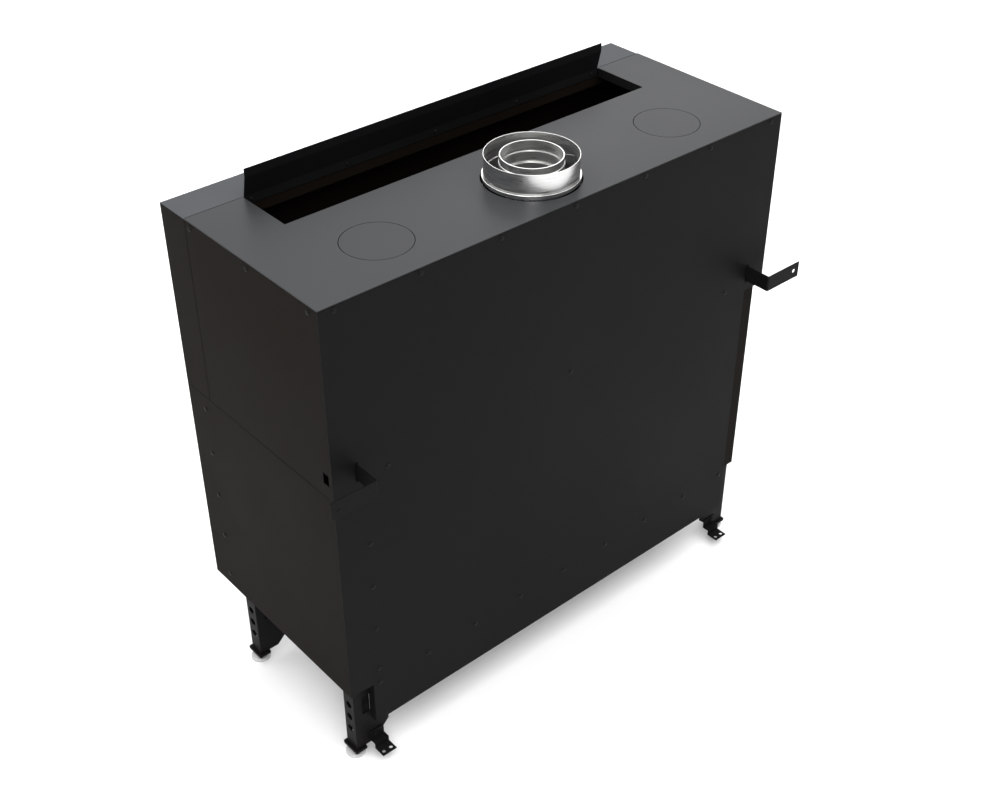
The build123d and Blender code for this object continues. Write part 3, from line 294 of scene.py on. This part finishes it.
node_looks = {
    "back_panel": "back",
    "upper_side_right": "side",
    "lower_side_right": "side",
    "upper_side_left": "side",
    "service_side_left": "side",
    "front_plate": "side",
    "front_hood": "strip",
    "top_plate": "top",
    "knock_out_discs": "disc",
    "slot_upstand": "upstand",
    "outer_spigot": "flue",
    "inner_spigot": "flue",
    "flue_tube": "flue",
    "flue_restrictor": "flue",
    "flue_spacers": "spangled",
    "spigot_collar": "collar",
    "air_box": "spangled",
    # The warm air guide takes the near-black painted shade of the unlit inside.
    "warm_air_guide": "inner_shade",
    "floor_tray": "spangled",
    "leg_rails": "spangled",
    # The bracket guides take the near-black painted shade of the unlit inside.
    "bracket_guides": "inner_shade",
    "firebox_stands": "spangled",
    "valve_bracket": "spangled",
    "leg_clamp_bolts": "zinc",
    "glass_pane": "glass",
    "glass_rope": "rope",
    "fire_logs": "logs",
    "ember_bed": "embers",
    "burner": "flue",
    "pilot_burner": "flue",
    "gas_cock": "brass",
    "gas_pipes": "brass",
    "gas_valve": "casting",
    "valve_knob": "plastic",
    "cock_lever": "plastic",
    "receiver_box": "plastic",
}
prefix_looks = (
    ("leg_front", "leg"),
    ("leg_rear", "leg"),
    ("level_foot", "foot"),
    ("wall_bracket", "bracket"),
    ("floor_anchor", "bracket"),
    ("anchor_bolt", "bracket"),
)


def look_of(node):
    """The look that a node of the frame gets."""
    for prefix, look in prefix_looks:
        if node.startswith(prefix):
            return look
    return node_looks.get(node, "firebox")


for node_name, node_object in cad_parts.items():
    for node_slot in node_object.material_slots:
        node_slot.material = looks[look_of(node_name)]


def make_piece(name, mesh, look, body):
    """A new piece with its look, body and material slot."""
    piece = bpy.data.objects.new(name, mesh)
    bpy.context.scene.collection.objects.link(piece)
    if not mesh.materials:
        mesh.materials.append(looks[look])
    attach(piece, body)
    return piece


def place(piece, at, out):
    """Stand a piece at a point with its own +Z along the given direction."""
    turn = Vector(out).to_track_quat("Z", "Y").to_matrix().to_4x4()
    piece.matrix_world = Matrix.Translation(Vector(at)) @ turn


def screw_mesh(name, radius, height, look):
    """A domed screw head with a cross recess."""
    rings = 14
    spokes = 48
    arm = radius * 0.13
    reach = radius * 0.58
    points = [(0.0, 0.0, height * 0.45)]
    for ring in range(1, rings + 1):
        r = radius * ring / rings
        for spoke in range(spokes):
            angle = 2 * math.pi * spoke / spokes
            x, y = r * math.cos(angle), r * math.sin(angle)
            dome = height * math.sqrt(max(0.0, 1.0 - (r / radius) ** 3))
            in_cross = min(abs(x), abs(y)) < arm and max(abs(x), abs(y)) < reach
            points.append((x, y, dome - (0.6 * height if in_cross else 0.0)))
    faces = [(0, 1 + s, 1 + (s + 1) % spokes) for s in range(spokes)]
    for ring in range(rings - 1):
        first = 1 + ring * spokes
        for s in range(spokes):
            after = (s + 1) % spokes
            faces.append((first + s, first + spokes + s, first + spokes + after, first + after))
    mesh = bpy.data.meshes.new(name)
    mesh.from_pydata(points, [], faces)
    mesh.materials.append(looks[look])
    for polygon in mesh.polygons:
        polygon.use_smooth = True
    mesh.update()
    return mesh


casing_screw = screw_mesh("casing_screw", 5.2 * MM, 2.6 * MM, "screw")
upstand_screw = screw_mesh("bright_screw", 4.0 * MM, 2.2 * MM, "screw")


def screw_row(name, mesh, spots, out, body="casing"):
    """Screws at the given places, all facing one way."""
    for index, spot in enumerate(spots):
        place(make_piece(f"{name}_{index + 1}", mesh, "screw", body), spot, out)


BACK_OUT = (0, 1, 0)
SIDE_OUT = (1, 0, 0)


def back_spots(columns, drop):
    """Places on the back panel, by column across and drop below the top."""
    return [(column * MM, BACK_Y + SCREW_IN, TOP_Z - drop * MM) for column in columns]


def side_spots(columns, drop, face):
    """Places on a side panel, by distance from the middle of the depth."""
    return [(face, MID_Y + column * MM, TOP_Z - drop * MM) for column in columns]


# Screws of the back, the sides and the upstand
top_columns = [column * BACK_TOP_PITCH for column in range(-3, 4)]
low_columns = [column * BACK_LOW_PITCH for column in range(-3, 4)] + [-CORNER_COLUMN, CORNER_COLUMN]
screw_row("back_top_screw", casing_screw, back_spots(top_columns, BACK_TOP_DROP), BACK_OUT)
screw_row("back_middle_screw", casing_screw, back_spots(BACK_MIDDLE_COLUMNS, BACK_MIDDLE_DROP), BACK_OUT)
screw_row("back_bottom_screw", casing_screw, back_spots(low_columns, BACK_LOW_DROP), BACK_OUT)
for number, corner_drop in enumerate(CORNER_DROPS, 1):
    spots = back_spots((CORNER_COLUMN,), corner_drop)
    screw_row(f"back_corner_screw_{number}", casing_screw, spots, BACK_OUT)
for side_name, sign in (("right", 1), ("left", -1)):
    spots = side_spots(SIDE_TOP_COLUMNS, SIDE_TOP_DROP, sign * (SIDE_X + SCREW_IN))
    screw_row(f"side_top_screw_{side_name}", casing_screw, spots, (sign, 0, 0))
for number in range(FRONT_COUNT):
    spots = side_spots((FRONT_COLUMN,), FRONT_DROP + number * FRONT_PITCH, SIDE_X + SCREW_IN)
    screw_row(f"side_front_screw_{number + 1}", casing_screw, spots, SIDE_OUT)
upstand_at = (UPSTAND_Y + UPSTAND_PROUD * MM, TOP_Z - UPSTAND_DROP * MM)
upstand_spots = [(column * UPSTAND_PITCH * MM, *upstand_at) for column in range(-2, 3)]
screw_row("upstand_screw", upstand_screw, upstand_spots, BACK_OUT)


def box_mesh(name, size, bevel):
    """A box about its centre with softened edges."""
    work = bmesh.new()
    bmesh.ops.create_cube(work, size=1.0)
    bmesh.ops.scale(work, vec=size, verts=work.verts)
    bmesh.ops.bevel(work, geom=work.edges[:], offset=bevel, segments=2, affect="EDGES")
    mesh = bpy.data.meshes.new(name)
    work.to_mesh(mesh)
    work.free()
    return mesh


def small_box(name, size, bevel, look, body, at):
    """A small block with softened edges, set at a point."""
    piece = make_piece(name, box_mesh(name, size, bevel), look, body)
    piece.location = at


# Dark lines of painted shade between the hood, the top and the side panels, standing in for the shadow in
# the seam gaps
top_line = (TOP_LINE_LENGTH, LINE_WIDTH, LINE_DEPTH)
side_line = (LINE_DEPTH, LINE_WIDTH, SIDE_LINE_LENGTH)
low_line = (LINE_DEPTH, LOW_LINE_LENGTH, LINE_WIDTH)
side_line_z = TOP_Z - HOOD_STEP - SIDE_LINE_DROP
low_line_z = TOP_Z - SEAM_DROP - LINE_DEPTH
for side_name, sign in (("right", 1), ("left", -1)):
    lines = [
        ("top", top_line, (sign * TOP_LINE_X, HOOD_Y - LINE_DEPTH / 2, TOP_Z - LINE_BEVEL)),
        ("side", side_line, (sign * SIDE_X, HOOD_Y - LINE_DEPTH, side_line_z)),
    ]
    if sign > 0:
        lines.append(("low", low_line, (SIDE_X, MID_Y, low_line_z)))
    for line_name, line_size, line_at in lines:
        seam_shade_name = f"seam_shade_line_{line_name}_{side_name}"
        small_box(seam_shade_name, line_size, LINE_BEVEL, "inner_shade", "casing", line_at)

# Two bright clips on the slot's back flange
for clip_name, clip_x in CLIPS:
    clip_at = (clip_x * MM, HOOD_Y + SLOT_DEPTH - 1.0 * MM, TOP_Z - 7 * MM)
    small_box(clip_name, CLIP_SIZE, 0.4 * MM, "zinc", "casing", clip_at)

# Dark sheets of painted shade behind the windows of the leg plates, standing in for the unlit inside seen
# through them
for leg_end, leg_shift in (("rear", 0.0), ("front", LEG_SPACING)):
    for leg_side, sign in (("right", 1), ("left", -1)):
        leg = f"leg_{leg_end}_{leg_side}_body"
        shade_sheet_at = (sign * SHADE_SHEET_X, BACK_Y - LEG_INSET - leg_shift - SHADE_SHEET_IN, SHADE_SHEET_Z)
        shade_sheet_name = f"leg_shade_sheet_{leg_end}_{leg_side}"
        small_box(shade_sheet_name, SHADE_SHEET_SIZE, 0.3 * MM, "inner_shade", leg, shade_sheet_at)

# Floor, lights and camera
floor_mesh = bpy.data.meshes.new("studio_floor")
REACH = 40.0
floor_corners = [(-REACH, -REACH, 0), (REACH, -REACH, 0), (REACH, REACH, 0), (-REACH, REACH, 0)]
floor_mesh.from_pydata(floor_corners, [], [(0, 1, 2, 3)])
floor_material, _, floor_shader = base_material("studio_white", (0.93, 0.93, 0.93), 0.9)
floor_shader.inputs["Specular IOR Level"].default_value = 0.0
floor_mesh.materials.append(floor_material)
studio_floor = bpy.data.objects.new("studio_floor", floor_mesh)
bpy.context.scene.collection.objects.link(studio_floor)


def soft_light(name, at, target, size, power):
    """A rectangular soft box aimed at a point."""
    data = bpy.data.lights.new(name, "AREA")
    data.shape = "RECTANGLE"
    data.size, data.size_y = size
    data.energy = power
    lamp = bpy.data.objects.new(name, data)
    bpy.context.scene.collection.objects.link(lamp)
    lamp.location = at
    lamp.rotation_euler = (Vector(target) - Vector(at)).to_track_quat("-Z", "Y").to_euler()


soft_light("overhead_box", (0.0, 0.0, 6.5), (0.0, 0.0, 0.0), (14.0, 14.0), 1650.0)
soft_light("far_panel", (-4.2, -5.0, 3.6), (0.0, 0.0, 1.2), (6.0, 3.0), 100.0)
soft_light("camera_side_box", (2.6, 3.4, 3.3), (0.0, 0.1, 1.2), (1.6, 1.6), 45.0)

world = bpy.data.worlds.new("studio")
bpy.context.scene.world = world
world.use_nodes = True
world.node_tree.nodes["Background"].inputs["Color"].default_value = (1.0, 1.0, 1.0, 1.0)
world.node_tree.nodes["Background"].inputs["Strength"].default_value = 0.18

# The photograph's camera, fitted to the casing's edges
YAW = math.radians(41.005)
PITCH = math.radians(35.973)
FOCAL_PIXELS = 1425.48
FRAME_PIXELS = 1000.0
SENSOR = 36.0
CAMERA_X = 1802.9 * MM
CAMERA_BACK = 2111.8 * MM
CAMERA_RISE = 1366.4 * MM
camera_data = bpy.data.cameras.new("photo_camera")
camera_data.sensor_width = SENSOR
camera_data.lens = SENSOR * FOCAL_PIXELS / FRAME_PIXELS
camera = bpy.data.objects.new("photo_camera", camera_data)
bpy.context.scene.collection.objects.link(camera)
flat = math.cos(PITCH)
aim = Vector((-flat * math.sin(YAW), -flat * math.cos(YAW), -math.sin(PITCH)))
camera.location = (CAMERA_X, MID_Y + CAMERA_BACK, TOP_Z + CAMERA_RISE)
camera.rotation_euler = aim.to_track_quat("-Z", "Y").to_euler()
bpy.context.scene.camera = camera

bpy.context.scene.view_settings.view_transform = "Standard"
